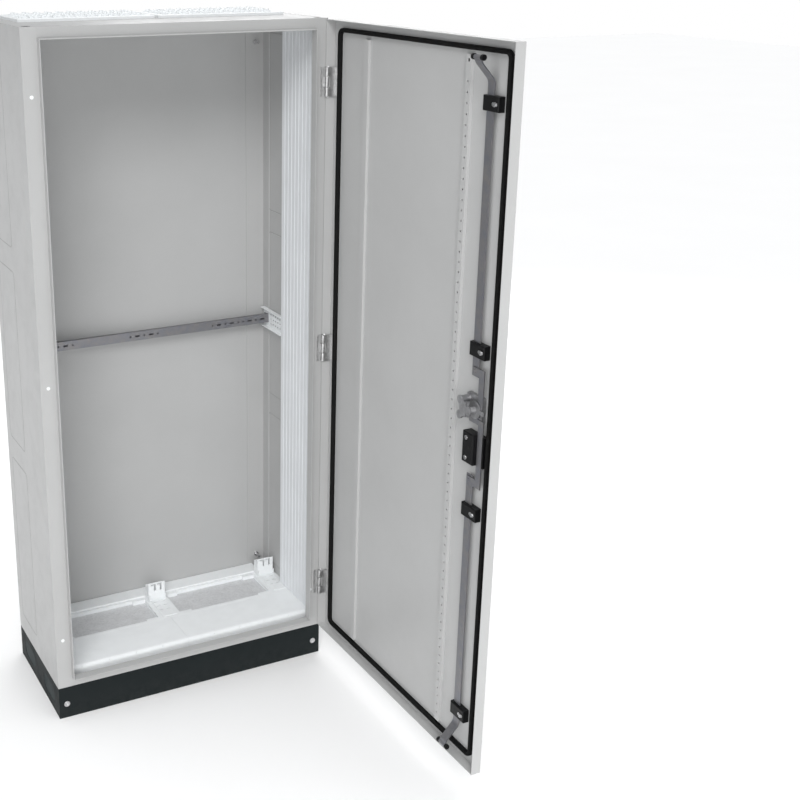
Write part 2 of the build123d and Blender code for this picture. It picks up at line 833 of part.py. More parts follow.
def cross_rail():
    """A flat tube across the rear, with groups of slots and holes through its front wall."""
    x = rail_end()
    y0 = front + cross_rail_front
    y1 = y0 + cross_rail_depth
    z0 = rail_z - cross_rail_height / 2
    z1 = rail_z + cross_rail_height / 2
    rail = slab(-x, x, y0, y1, z0, z1)
    rail -= slab(-x, x, y0 + cross_rail_sheet, y1 - cross_rail_sheet, z0 + cross_rail_sheet,
                 z1 - cross_rail_sheet)
    centres = [0.0] + [side * (x - end) for side in (-1, 1) for end in rail_slot_ends]
    for centre in centres:
        for index in range(-2, 3):
            hole_x = centre + index * rail_slot_pitch
            if index % 2:
                rail -= slab(hole_x - rail_slot_length / 2, hole_x + rail_slot_length / 2, y0,
                             y0 + cross_rail_sheet, rail_z - rail_slot_height / 2,
                             rail_z + rail_slot_height / 2)
            elif abs(hole_x) < x - rail_round_hole:
                rail -= round_bar((hole_x, y0, rail_z), (0, 1, 0), rail_round_hole, cross_rail_sheet)
    return rail


def rail_cleat(side):
    """An angle that joins the rail's end to its bracket."""
    x1 = side * rail_end()
    y0 = front + cross_rail_front + cross_rail_depth
    z0 = rail_z - cleat_height / 2
    z1 = rail_z + cleat_height / 2
    cleat = slab(x1 - side * cleat_face, x1, y0, y0 + cleat_sheet, z0, z1)
    cleat += slab(x1, x1 - side * cleat_sheet, y0, y0 + cleat_arm, z0, z1)
    return cleat


def side_liner():
    """A ribbed extrusion along the right wall: face with shallow ribs, round front edge, chamber webs."""
    y0 = front + liner_front
    y1 = y0 + liner_depth
    x0 = wall_x - liner_thick
    z0 = cover_z + fit_gap
    z1 = roof_z - sheet - lifting_insert_thick - fit_gap
    liner = slab(x0, wall_x, y0, y1, z0, z1)
    liner = fillet(liner.edges().filter_by(Axis.Z).sort_by(Axis.Y)[:2].sort_by(Axis.X)[0], liner_nose)
    bay = (liner_depth - 2 * liner_thick) / liner_bays
    for index in range(liner_bays):
        start = y0 + liner_bay_start + index * bay
        liner -= slab(x0, x0 + liner_rib, start, start + bay * liner_bay_share, z0, z1)
    inner = (liner_depth - liner_thick) / liner_chambers
    for index in range(liner_chambers):
        start = y0 + liner_thick - liner_wall + index * inner
        liner -= slab(x0 + liner_wall + liner_rib, wall_x - liner_wall, start, start + inner - liner_wall,
                      z0, z1)
    return liner


def rear_stud(sx, z):
    x = sx * (wall_x - post_rear_leg / 2)
    y = rear_wall - post_sheet
    stud = round_bar((x, y, z), (0, -1, 0), stud_radius, stud_length)
    hexagon = Plane(origin=(x, y, z), z_dir=(0, -1, 0)) * RegularPolygon(nut_radius, 6)
    nut = extrude(hexagon, amount=nut_thick)
    return stud + nut


def build_inside():
    save("rear_posts", group(rear_post(-1) + rear_post(1)))
    save("rail_brackets", group((rail_bracket(), mirrored(rail_bracket()))))
    save("cross_rail", cross_rail())
    save("rail_cleats", group(rail_cleat(side) for side in (-1, 1)))
    save("side_liners", group((side_liner(), mirrored(side_liner()))))
    heights = (floor_z + stud_low_offset, roof_z - stud_high_offset)
    save("rear_studs", group(rear_stud(sx, z) for sx in (-1, 1) for z in heights))


# ------------------------------------------------------------------ hinges
def frame_leaf(z):
    """Leaf on the stile, a tongue and the middle knuckle."""
    half = hinge_total / 2
    x1 = hinge_x - knuckle_radius - leaf_gap
    leaf = slab(x1 - frame_leaf_width, x1, front - hinge_leaf, front, z - half, z + half)
    leaf += slab(x1, hinge_x, front - hinge_leaf, front, z - frame_knuckle / 2, z + frame_knuckle / 2)
    leaf += slab(hinge_x - knuckle_radius, hinge_x, hinge_y, front,
                 z - frame_knuckle / 2, z + frame_knuckle / 2)
    leaf += round_bar((hinge_x, hinge_y, z - frame_knuckle / 2), (0, 0, 1), knuckle_radius, frame_knuckle)
    leaf -= round_bar((hinge_x, hinge_y, z - frame_knuckle / 2), (0, 0, 1), pin_radius, frame_knuckle)
    return leaf


def door_leaf(z):
    """Foot on the door's skin, a riser, and the two outer knuckles."""
    half = hinge_total / 2
    x1 = hinge_x - knuckle_radius + hinge_leaf
    foot = slab(x1 - hinge_foot_width, x1, skin, skin + hinge_leaf, z - half, z + half)
    foot += slab(x1 - hinge_leaf, x1, skin, hinge_y - pin_radius - knuckle_bite, z - half, z + half)
    for start in (z - half, z + half - door_knuckle):
        foot += slab(x1 - hinge_leaf, hinge_x - knuckle_bite, hinge_y - knuckle_radius + knuckle_bite,
                     hinge_y, start, start + door_knuckle)
        foot += round_bar((hinge_x, hinge_y, start), (0, 0, 1), knuckle_radius, door_knuckle)
    foot -= round_bar((hinge_x, hinge_y, z - half), (0, 0, 1), pin_radius + running_gap, hinge_total)
    clear = frame_knuckle / 2 + knuckle_gap
    return foot - slab(x1 - hinge_leaf, hinge_x + knuckle_radius, hinge_y - knuckle_radius - notch_clear,
                       hinge_y + notch_clear, z - clear, z + clear)


def hinge_pin(z):
    half = hinge_total / 2
    pin = round_bar((hinge_x, hinge_y, z - half - pin_end), (0, 0, 1), pin_radius, hinge_total + 2 * pin_end)
    return pin + round_bar((hinge_x, hinge_y, z + half + pin_head_gap), (0, 0, 1), pin_head_radius,
                           pin_head_height)


def build_hinges():
    save("hinge_frame_leaves", group(frame_leaf(z) for z in hinge_heights))
    save_open("hinge_door_leaves", group(door_leaf(z) for z in hinge_heights))
    save("hinge_pins", group(hinge_pin(z) for z in hinge_heights))


# ------------------------------------------------------------------ door
def door_panel():
    tip = front - door_standoff
    pan = slab(-door_half, door_half, door_face, tip, door_low, door_high)
    pan = fillet(pan.edges().group_by(Axis.Y)[0], door_round)
    pan -= slab(-door_half + sheet, door_half - sheet, skin, tip, door_low + sheet, door_high - sheet)
    notch = hinge_total / 2 + hinge_notch_margin
    for z in hinge_heights:
        pan -= slab(door_half - 2 * sheet, door_half, hinge_y - knuckle_radius - hinge_notch_front, tip,
                    z - notch, z + notch)
    pan -= round_bar((spindle_x, door_face, lock_height), (0, 1, 0), spindle_radius + spindle_clear, sheet)
    pan -= round_bar((spindle_x, door_face, barrel_z), (0, 1, 0), barrel_radius + barrel_clear, sheet)
    return pan


def gasket_path(half_x, z0, z1, corner):
    place = Plane(origin=(0, skin, (z0 + z1) / 2), x_dir=(1, 0, 0), z_dir=(0, 1, 0))
    return place * RectangleRounded(2 * half_x, z1 - z0, corner)


def door_gasket():
    """A foamed seal of constant width on the skin, opposite the opening's collar."""
    half = gasket_width / 2
    mid_x = opening_x - frame_sheet / 2
    low = opening_low + frame_sheet / 2
    high = opening_high - frame_sheet / 2
    outer = gasket_path(mid_x + half, low - half, high + half, gasket_corner + half)
    inner = gasket_path(mid_x - half, low + half, high - half, gasket_corner - half)
    return extrude(outer, amount=gasket_top - skin) - extrude(inner, amount=gasket_top - skin)


def door_strip(centre_x, width, height):
    """A channel on the door's skin, its web standing proud."""
    z0 = door_low + strip_end_gap
    z1 = door_high - strip_end_gap
    half = width / 2
    strip = slab(centre_x - half, centre_x + half, skin, proud(height), z0, z1)
    inner = half - sheet
    return strip - slab(centre_x - inner, centre_x + inner, skin, proud(height - sheet), z0, z1)


def perforated_rail():
    x = door_half - rail_inset
    rail = door_strip(x, rail_width, rail_proud)
    z0 = door_low + strip_end_gap
    z1 = door_high - strip_end_gap
    count = int((z1 - z0 - 2 * rail_pitch) // rail_pitch)
    holes = [round_bar((x, proud(rail_proud - sheet), z0 + rail_pitch * (index + 1)), (0, 1, 0),
                       rail_hole_radius, sheet) for index in range(count)]
    holes.append(round_bar((x, proud(rail_proud - sheet), z1 - rail_pitch / 2), (0, 1, 0),
                           rail_end_hole_radius, sheet))
    return rail - holes


# ------------------------------------------------------------------ rod lock
def rod_guide(z):
    """A moulded block screwed to the door, with a slot that the rod slides in."""
    x0 = rod_x + rod_width / 2 + guide_side
    z0 = z - guide_height / 2
    z1 = z + guide_height / 2
    block = slab(x0, x0 - guide_width, skin, proud(guide_proud), z0, z1)
    block = fillet(block.edges().group_by(Axis.Y)[-1], moulding_round)
    block -= slab(rod_x - rod_width / 2 - rod_gap, rod_x + rod_width / 2 + rod_gap,
                  proud(rod_proud - rod_gap), proud(rod_proud + rod_thick + rod_gap), z0, z1)
    return block


def guide_screw_x():
    return rod_x + rod_width / 2 + guide_side - guide_width + guide_screw_end


def screw(x, y, z):
    """A slotted pan-head screw seen from the door's inside."""
    head = round_bar((x, y, z), (0, 1, 0), screw_radius, screw_head)
    head = fillet(head.edges().sort_by(Axis.Y)[-1], screw_round)
    return head - slab(x - screw_radius, x + screw_radius, y + screw_head - screw_slot_deep, y + screw_head,
                       z - screw_slot_width / 2, z + screw_slot_width / 2)


def guide_screw(z):
    """A guide's screw with its long washer."""
    x = guide_screw_x()
    y = proud(guide_proud)
    outline = Plane(origin=(x + washer_shift, y, z), x_dir=(1, 0, 0), z_dir=(0, 1, 0))
    washer = extrude(outline * SlotOverall(washer_length, washer_width), amount=washer_thick)
    return washer + screw(x, y + washer_thick, z)


def bar_block():
    """The moulded block below the lock that carries the lower drive bar in a channel."""
    middle = door_half - lower_bar_inset
    channel_x0 = middle - bar_width / 2 - slide_gap
    channel_x1 = middle + bar_width / 2 + slide_gap
    x0 = channel_x0 - block_wall
    x1 = channel_x1 + block_body + 2 * block_wall
    z0 = block_z - block_height / 2
    z1 = block_z + block_height / 2
    block = slab(x0, x1, skin, proud(block_proud), z0, z1)
    block -= slab(x0, channel_x0, proud(bar_proud + bar_thick), proud(block_proud), z0, z1)
    block -= slab(channel_x0, channel_x1, proud(bar_proud - rod_gap), proud(block_proud), z0, z1)
    block = fillet(block.edges().group_by(Axis.Y)[-1], moulding_round)
    return block - round_bar((spindle_x, skin, barrel_z), (0, 1, 0), barrel_radius + running_gap,
                             barrel_inside)


def block_screw_places():
    x = door_half - lower_bar_inset + bar_width / 2 + block_screw_reach
    rise = block_height / 2 - block_screw_end
    return [(x, proud(block_proud), block_z + side * rise) for side in (-1, 1)]


def door_screws():
    at_guides = [guide_screw(z) for z in guide_heights]
    return group(at_guides + [screw(*place) for place in block_screw_places()])


def lock_case():
    """Cast lock body: base on the skin, two pillars on the hinge side and a bridge over the cam."""
    base_top = proud(bar_proud - rod_gap)
    top = proud(lock_bridge_proud)
    cover = top + lock_bridge_thick
    pillar_x = spindle_x + pillar_reach
    case = slab(spindle_x - lock_base_side, pillar_x + pillar_radius, skin, base_top,
                lock_height - lock_base_half_height, lock_height + lock_base_half_height)
    case = fillet(case.edges().filter_by(Axis.Y), lock_base_round)
    for side in (-1, 1):
        z = lock_height + side * pillar_spread
        case += round_bar((pillar_x, base_top, z), (0, 1, 0), pillar_radius, top - base_top)
        case += round_bar((pillar_x, top, z), (0, 1, 0), pillar_head_radius, lock_bridge_thick)
    case += slab(spindle_x, pillar_x, top, cover, lock_height - boss_radius, lock_height + boss_radius)
    case += slab(spindle_x + boss_radius, pillar_x, top, cover, lock_height - pillar_spread,
                 lock_height + pillar_spread)
    case += round_bar((spindle_x, top, lock_height), (0, 1, 0), pillar_head_radius, lock_bridge_thick)
    return case - round_bar((spindle_x, skin, lock_height), (0, 1, 0), spindle_radius + running_gap,
                            lock_bridge_proud + lock_bridge_thick)


def crank_pins():
    """The two crank pins' places round the spindle when the rods are drawn back."""
    step = crank_radius * math.sin(math.radians(45))
    return [(spindle_x - step, lock_height - step), (spindle_x + step, lock_height + step)]


def lock_cam():
    y0 = proud(cam_proud)
    cam = round_bar((spindle_x, y0, lock_height), (0, 1, 0), cam_radius, cam_thick)
    arm = slab(spindle_x - cam_arm, spindle_x, y0, y0 + cam_thick, lock_height - cam_arm_width / 2,
               lock_height + cam_arm_width / 2)
    cam += fillet(arm.edges().filter_by(Axis.Y).sort_by(Axis.X)[:2], cam_arm_round)
    cam += round_bar((spindle_x, y0, lock_height), (0, 1, 0), boss_radius,
                     lock_bridge_proud - cam_proud - rod_gap)
    for x, z in crank_pins():
        cam += round_bar((x, y0, z), (0, -1, 0), crank_pin_radius, cam_proud - bar_proud)
    return cam - round_bar((spindle_x, y0, lock_height), (0, 1, 0), spindle_radius, lock_bridge_proud)


def crank_slot(x, z, y0, y1):
    """Cross slot for one crank pin: as long as the pin's sideways swing, and a little higher."""
    swing = crank_radius * (1 - math.sin(math.radians(45)))
    reach = crank_pin_radius + slot_play
    away = 1 if x > spindle_x else -1
    return slab(x - away * reach, x + away * (swing + reach), y0, y1, z - reach, z + reach)


def bar_tab(x, z0, z1, rivet_z):
    """The end of a drive bar that laps its rod, with the rivet's head."""
    y0 = proud(bar_proud)
    y1 = y0 + bar_thick
    tab = slab(x, rod_x + rod_width / 2 - bar_rivet_radius, y0, y1, z0, z1)
    return tab + round_bar((rod_x, y1, rivet_z), (0, 1, 0), bar_rivet_radius, bar_rivet_proud)


def upper_bar():
    """Flat bar from the crank up to the upper rod, with a tab that laps the rod."""
    x = door_half - upper_bar_inset
    y0 = proud(bar_proud)
    y1 = y0 + bar_thick
    pin_x, pin_z = crank_pins()[0]
    top = upper_rod_foot + bar_overlap
    tab_low = upper_rod_foot + bar_rivet_radius
    bar = slab(x - bar_width / 2, x + bar_width / 2, y0, y1, pin_z - bar_end, top)
    bar += bar_tab(x, tab_low, top, (tab_low + top) / 2)
    return bar - crank_slot(pin_x, pin_z, y0, y1)


def lower_bar():
    """Flat bar that passes under the spindle and runs down beside it to the lower rod."""
    x = door_half - lower_bar_inset
    y0 = proud(bar_proud)
    y1 = y0 + bar_thick
    pin_x, pin_z = crank_pins()[1]
    low = lower_rod_top - bar_overlap
    tab_high = lower_rod_top - bar_rivet_radius
    head_x0 = spindle_x + spindle_radius + slide_gap
    bar = slab(head_x0, pin_x + jog_reach, y0, y1, jog_low, pin_z + bar_end)
    bar += slab(x - bar_width / 2, pin_x + jog_reach, y0, y1, jog_low, jog_top)
    bar += slab(x - bar_width / 2, x + bar_width / 2, y0, y1, low, jog_top)
    bar += bar_tab(x, low, tab_high, (low + tab_high) / 2)
    return bar - crank_slot(pin_x, pin_z, y0, y1)


def lock_rod(z_end, z_roller, away):
    """Flat rod from the drive bar to its roller, cranked inward near the roller."""
    flat_y = proud(rod_proud) + rod_thick / 2
    bend = z_roller - away * crank_end_straight
    start = bend - away * crank_slope
    corners = [(flat_y, z_end), (flat_y, start), (roller_y, bend), (roller_y, z_roller)]
    route = Plane.YZ * FilletPolyline(*corners, radius=crank_bend_radius)
    across = Plane(origin=(0, flat_y, z_end), x_dir=(1, 0, 0), z_dir=(0, 0, away))
    rod = Pos(rod_x, 0, 0) * sweep(across * Rectangle(rod_width, rod_thick), path=route)
    side_x = rod_x - rod_width / 2
    rod += round_bar((side_x, roller_y, z_roller), (1, 0, 0), roller_pin_radius + rod_eye_wall, rod_width)
    return rod - round_bar((side_x, roller_y, z_roller), (1, 0, 0), roller_pin_radius, rod_width)


def roller_span():
    return rod_width / 2 + roller_side_gap + roller_width


def roller_pin(z):
    reach = roller_span() + roller_side_gap
    pin = round_bar((rod_x - reach, roller_y, z), (1, 0, 0), roller_pin_radius, 2 * reach)
    for side in (-1, 1):
        pin += round_bar((rod_x + side * reach, roller_y, z), (side, 0, 0),
                         roller_pin_radius + pin_head_reach, pin_head_reach)
    return pin


def rollers(z):
    pair = []
    for side in (-1, 1):
        start = (rod_x + side * (rod_width / 2 + roller_side_gap), roller_y, z)
        roller = round_bar(start, (side, 0, 0), roller_radius, roller_width)
        roller = fillet(roller.edges(), roller_round)
        pair.append(roller - round_bar(start, (side, 0, 0), roller_pin_radius + running_gap, roller_width))
    return group(pair)


def build_lock():
    save_open("rod_guides", group(rod_guide(z) for z in guide_heights))
    save_open("door_screws", door_screws())
    save_open("bar_block", bar_block())
    save_open("lock_case", lock_case())
    save_open("lock_cam", lock_cam())
    save_open("upper_drive_bar", upper_bar())
    save_open("lower_drive_bar", lower_bar())
    save_open("upper_rod", lock_rod(upper_rod_foot, roller_high, 1))
    save_open("lower_rod", lock_rod(lower_rod_top, roller_low, -1))
    save_open("upper_roller_pin", roller_pin(roller_high))
    save_open("lower_roller_pin", roller_pin(roller_low))
    save_open("upper_rollers", rollers(roller_high))
    save_open("lower_rollers", rollers(roller_low))


# ------------------------------------------------------------------ outside handle
def handle_base():
    half = handle_base_width / 2
    base = slab(spindle_x - half, spindle_x + half, base_face, door_face,
                lock_height - handle_base_below, lock_height + handle_base_above)
    base = fillet(base.edges().filter_by(Axis.Y), handle_base_corner)
    base = fillet(base.edges().group_by(Axis.Y)[0], handle_base_round)
    for z, radius in ((lock_height, spindle_radius), (barrel_z, barrel_radius)):
        base -= round_bar((spindle_x, base_face, z), (0, 1, 0), radius + running_gap, handle_base_thick)
    return base


def handle_hub():
    """Disc outside the base plate, the neck that carries the lever, and the spindle through the door."""
    disc_y = base_face - hub_gap
    hub = round_bar((spindle_x, disc_y, lock_height), (0, -1, 0), hub_radius, hub_disc)
    top = disc_y - hub_disc
    hub += slab(spindle_x - neck_half, spindle_x + neck_half, top - pivot_rise, top,
                lock_height - neck_half_width, lock_height + neck_half_width)
    hub += round_bar((spindle_x, top - pivot_rise, lock_height - neck_half_width), (0, 0, 1),
                     neck_half, 2 * neck_half_width)
    hub += round_bar((spindle_x, disc_y, lock_height), (0, 1, 0), spindle_radius,
                     proud(lock_bridge_proud + lock_bridge_thick) - disc_y)
    return hub - round_bar((spindle_x, top - pivot_rise, lock_height - neck_half_width), (0, 0, 1),
                           lever_pin_radius, 2 * neck_half_width)


def lever_plane():
    return base_face - hub_gap - hub_disc - pivot_rise


def handle_lever():
    """Flat lever: two ears on the hub's neck and a grip with a hole over the key barrel."""
    y = lever_plane()
    half = lever_width / 2
    thin = lever_thick / 2
    slot_x = neck_half + slide_gap
    slot_z = neck_half_width + hub_gap
    ears = slab(spindle_x, spindle_x + neck_half + lever_ear_reach, y - thin, y + thin, lock_height - half,
                lock_height + half)
    ears += round_bar((spindle_x, y, lock_height - half), (0, 0, 1), thin, lever_width)
    ears -= slab(spindle_x - slot_x, spindle_x + slot_x, y - lever_thick, y + lever_thick,
                 lock_height - slot_z, lock_height + slot_z)
    grip = slab(spindle_x + slot_x, spindle_x + lever_length, y - thin, y + thin,
                lock_height - half, lock_height + half)
    grip = fillet(grip.edges().filter_by(Axis.Y).sort_by(Axis.X)[-2:], lever_end_round)
    grip = fillet(grip.edges().group_by(Axis.Y)[0], lever_edge_round)
    lever = ears + grip
    lever -= round_bar((spindle_x + barrel_drop, y - thin, lock_height), (0, 1, 0), barrel_radius,
                       lever_thick)
    return lever - round_bar((spindle_x, y, lock_height - half), (0, 0, 1),
                             lever_pin_radius + running_gap, lever_width)


def lever_pin():
    start = (spindle_x, lever_plane(), lock_height - lever_width / 2)
    return round_bar(start, (0, 0, 1), lever_pin_radius, lever_width)


def key_barrel():
    """Round barrel with a keyway, through the base plate and skin into the block behind."""
    y0 = base_face - barrel_proud
    barrel = round_bar((spindle_x, y0, barrel_z), (0, 1, 0), barrel_radius, proud(barrel_inside) - y0)
    return barrel - slab(spindle_x - keyway_width / 2, spindle_x + keyway_width / 2, y0, y0 + keyway_deep,
                         barrel_z - keyway_height / 2, barrel_z + keyway_height / 2)


def build_handle():
    save_open("handle_base", handle_base())
    save_open("handle_hub", handle_hub())
    save_open("handle_lever", handle_lever())
    save_open("lever_pin", lever_pin())
    save_open("key_barrel", key_barrel())


def build_door():
    save_open("door_panel", door_panel())
    save_open("door_gasket", door_gasket())
    save_open("door_stiffener", door_strip(door_half - stiffener_inset, stiffener_width, stiffener_proud))
    save_open("door_perforated_rail", perforated_rail())


os.makedirs("parts", exist_ok=True)
build_plinth()
build_shell()
build_cable_entries()
build_inside()
build_hinges()
build_door()
build_lock()
build_handle()
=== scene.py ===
import json
import math

import bmesh
import bpy
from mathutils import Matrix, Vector, noise


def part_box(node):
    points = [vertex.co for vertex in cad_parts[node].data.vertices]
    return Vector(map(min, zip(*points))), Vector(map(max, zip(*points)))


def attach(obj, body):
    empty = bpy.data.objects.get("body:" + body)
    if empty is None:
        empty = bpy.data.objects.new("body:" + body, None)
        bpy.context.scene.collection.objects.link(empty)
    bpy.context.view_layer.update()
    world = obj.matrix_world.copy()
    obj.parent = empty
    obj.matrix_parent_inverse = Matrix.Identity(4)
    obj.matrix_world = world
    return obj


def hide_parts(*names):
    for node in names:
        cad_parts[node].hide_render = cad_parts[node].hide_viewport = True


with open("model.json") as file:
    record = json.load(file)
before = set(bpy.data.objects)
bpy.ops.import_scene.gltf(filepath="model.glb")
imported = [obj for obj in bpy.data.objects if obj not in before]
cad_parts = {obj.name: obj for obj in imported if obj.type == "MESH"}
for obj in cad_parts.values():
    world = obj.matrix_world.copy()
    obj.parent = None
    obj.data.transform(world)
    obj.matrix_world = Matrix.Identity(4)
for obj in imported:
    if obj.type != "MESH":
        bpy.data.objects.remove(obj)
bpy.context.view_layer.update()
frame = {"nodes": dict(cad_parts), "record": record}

nodes = frame["nodes"]
MM = 0.001
BODY_HALF = max(abs(corner.x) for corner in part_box("side_panel_left")) / MM


# ------------------------------------------------------------------ shader building blocks
class Finish:
    """One procedural material: a Principled shader with detail in its colour, roughness and bump."""

    def __init__(self, name, roughness, metallic=0.0, specular=0.5):
        self.material = bpy.data.materials.new(name)
        self.material.use_nodes = True
        self.tree = self.material.node_tree
        self.shader = self.tree.nodes["Principled BSDF"]
        self.shader.inputs["Metallic"].default_value = metallic
        self.shader.inputs["Specular IOR Level"].default_value = specular
        self.shader.inputs["Roughness"].default_value = roughness
        self.roughness = roughness
        self.place = self.add("ShaderNodeTexCoord").outputs["Object"]
        self.normal = None

    def add(self, kind, **settings):
        made = self.tree.nodes.new(kind)
        for key, value in settings.items():
            setattr(made, key, value)
        return made

    def link(self, source, target):
        self.tree.links.new(source, target)

    def axis(self, letter):
        """Distance along the object's own X, Y or Z, in metres."""
        made = self.add("ShaderNodeSeparateXYZ")
        self.link(self.place, made.inputs[0])
        return made.outputs[letter]

    def stretched(self, x=1.0, y=1.0, z=1.0):
        """Coordinates scaled along each axis, for grain that runs one way."""
        mapping = self.add("ShaderNodeMapping")
        mapping.inputs["Scale"].default_value = (x, y, z)
        self.link(self.place, mapping.inputs["Vector"])
        return mapping.outputs["Vector"]

    def noise(self, size, detail=2.0, rough=0.5, at=None):
        """Noise whose features are about size millimetres across."""
        made = self.add("ShaderNodeTexNoise")
        made.inputs["Scale"].default_value = 1 / (size * MM)
        made.inputs["Detail"].default_value = detail
        made.inputs["Roughness"].default_value = rough
        self.link(at or self.place, made.inputs["Vector"])
        return made.outputs["Fac"]

    def cells(self, size, at=None, output="Distance"):
        """Voronoi cells about size millimetres across."""
        made = self.add("ShaderNodeTexVoronoi")
        made.inputs["Scale"].default_value = 1 / (size * MM)
        self.link(at or self.place, made.inputs["Vector"])
        return made.outputs[output]

    def remap(self, value, low, high, to_low, to_high, smooth=False):
        """The value's range from low to high, turned into the range from to_low to to_high and held there."""
        made = self.add("ShaderNodeMapRange", clamp=True)
        if smooth:
            made.interpolation_type = "SMOOTHSTEP"
        for key, number in zip(("From Min", "From Max", "To Min", "To Max"), (low, high, to_low, to_high)):
            made.inputs[key].default_value = number
        self.link(value, made.inputs["Value"])
        return made.outputs["Result"]

    def share(self, value, low, high):
        """0 where the value is low or less, 1 where it is high or more."""
        return self.remap(value, low, high, 0, 1)

    def mix(self, factor, first, second):
        """Colour between two colours or sockets."""
        made = self.add("ShaderNodeMix", data_type="RGBA")
        self.link(factor, made.inputs[0])
        for socket, source in ((made.inputs[6], first), (made.inputs[7], second)):
            if isinstance(source, tuple):
                socket.default_value = (*source, 1)
            else:
                self.link(source, socket)
        return made.outputs[2]

    def times(self, first, second):
        """A socket times a number or another socket."""
        made = self.add("ShaderNodeMath", operation="MULTIPLY")
        self.link(first, made.inputs[0])
        if isinstance(second, float):
            made.inputs[1].default_value = second
        else:
            self.link(second, made.inputs[1])
        return made.outputs[0]

    def unsigned(self, value):
        made = self.add("ShaderNodeMath", operation="ABSOLUTE")
        self.link(value, made.inputs[0])
        return made.outputs[0]

    def colour(self, source):
        self.link(source, self.shader.inputs["Base Color"])

    def gloss(self, value, low, high, less, more):
        """Roughness from less under the finish's own to more over it, as the value runs from low to high."""
        varied = self.remap(value, low, high, self.roughness - less, self.roughness + more)
        self.link(varied, self.shader.inputs["Roughness"])

    def bump(self, height, deep, strength):
        """Adds relief deep millimetres high on top of what is there."""
        made = self.add("ShaderNodeBump")
        made.inputs["Strength"].default_value = strength
        made.inputs["Distance"].default_value = deep * MM
        self.link(height, made.inputs["Height"])
        if self.normal is not None:
            self.link(self.normal, made.inputs["Normal"])
        self.normal = made.outputs["Normal"]
        self.link(self.normal, self.shader.inputs["Normal"])


def shade(colour, factor):
    return tuple(min(1.0, c * factor) for c in colour)


def tinted(colour, tint):
    return tuple(c * k for c, k in zip(colour, tint))


# ------------------------------------------------------------------ the materials
DUST_COLOUR = (0.30, 0.29, 0.27)
DUST_TOP = 90 * MM              # no dust above this height
LINE_EDGE = 0.05                # blur at the edge of the light painted on a stamped line's floor, in millimetres


def powder_coat(name, colour, roughness, peel=1.4, deep=0.05, dust=0.0, specular=0.5, painted_groove_light=None):
    """Baked powder paint: orange peel, fine speckle, cloudy gloss and faint handling marks.

    The last argument, (deepest, shallowest, factor), paints light on stamped lines: paint that lies between
    these millimetres inside the body's side face is on the floor of a stamped line, where its colour is
    multiplied by the
    factor: painted shade where the factor is under 1, a painted highlight where it is over 1.
    """
    f = Finish(name, roughness, specular=specular)
    cloud = f.share(f.noise(260, detail=3), 0.35, 0.65)
    speck = f.share(f.noise(0.9, detail=1), 0.4, 0.62)
    base = f.mix(cloud, shade(colour, 0.975), shade(colour, 1.02))
    tone = f.mix(f.times(speck, 0.12), base, shade(colour, 0.8))
    if dust:
        low = f.remap(f.axis("Z"), 0.0, DUST_TOP, dust, 0.0, smooth=True)
        patch = f.times(low, f.share(f.noise(25, detail=4, rough=0.65), 0.35, 0.7))
        tone = f.mix(patch, tone, DUST_COLOUR)
    # Painted light on the stamped lines: the floor's colour is multiplied by the factor, giving painted shade
    # below 1 and a painted highlight above 1.
    if painted_groove_light:
        deepest, shallowest, factor = painted_groove_light
        reach = f.unsigned(f.axis("X"))
        nearest, farthest = BODY_HALF - deepest, BODY_HALF - shallowest
        inner = f.share(reach, (nearest - LINE_EDGE) * MM, (nearest + LINE_EDGE) * MM)
        outer = f.remap(reach, (farthest - LINE_EDGE) * MM, (farthest + LINE_EDGE) * MM, 1, 0)
        tone = f.mix(f.times(inner, outer), tone, shade(colour, factor))
    f.colour(tone)
    f.gloss(f.noise(45, detail=5, rough=0.6), 0.45, 0.75, less=0.04, more=0.10)
    f.bump(f.noise(peel, detail=2, rough=0.45), deep, strength=0.35)
    f.bump(f.noise(180, detail=1), deep=0.6, strength=0.12)
    return f.material


def moulded_plastic(name, colour, roughness, grain=0.7, tint=0.02, specular=0.45):
    """Injection-moulded plastic: spark-eroded grain, flow clouds and softer gloss where it is handled."""
    f = Finish(name, roughness, specular=specular)
    flow = f.share(f.noise(38, detail=3, at=f.stretched(z=0.35)), 0.3, 0.7)
    f.colour(f.mix(flow, shade(colour, 1 - tint), shade(colour, 1 + tint)))
    f.gloss(f.noise(14, detail=4, rough=0.6), 0.35, 0.7, less=0.05, more=0.08)
    f.bump(f.noise(grain, detail=2, rough=0.6), deep=0.03, strength=0.4)
    f.bump(f.noise(60, detail=1), deep=0.25, strength=0.1)
    return f.material


def extruded_plastic(name, colour, roughness):
    """Extruded liner: die lines that run up its length."""
    f = Finish(name, roughness, specular=0.45)
    lines = f.noise(2.4, detail=3, rough=0.6, at=f.stretched(z=0.004))
    cloud = f.share(f.noise(120, detail=2), 0.35, 0.65)
    f.colour(f.mix(cloud, shade(colour, 0.975), shade(colour, 1.015)))
    f.gloss(lines, 0.3, 0.7, less=0.05, more=0.07)
    f.bump(lines, deep=0.05, strength=0.35)
    return f.material


def plated_steel(name, colour, roughness):
    """Zinc-plated strip: rolling lines along its length, cloudy passivation and small rubbed spots."""
    f = Finish(name, roughness, metallic=0.8)
    rolled = f.noise(0.8, detail=3, rough=0.6, at=f.stretched(z=0.03))
    cloud = f.share(f.noise(22, detail=4, rough=0.6), 0.32, 0.68)
    warm = tinted(colour, (1.03, 1.0, 0.95))
    cool = tinted(colour, (0.86, 0.88, 0.93))
    rub = f.remap(f.noise(7, detail=5, rough=0.7), 0.6, 0.75, 0, 0.2)
    f.colour(f.mix(rub, f.mix(cloud, cool, warm), shade(colour, 1.45)))
    f.gloss(rolled, 0.25, 0.75, less=0.07, more=0.12)
    f.bump(rolled, deep=0.04, strength=0.4)
    return f.material


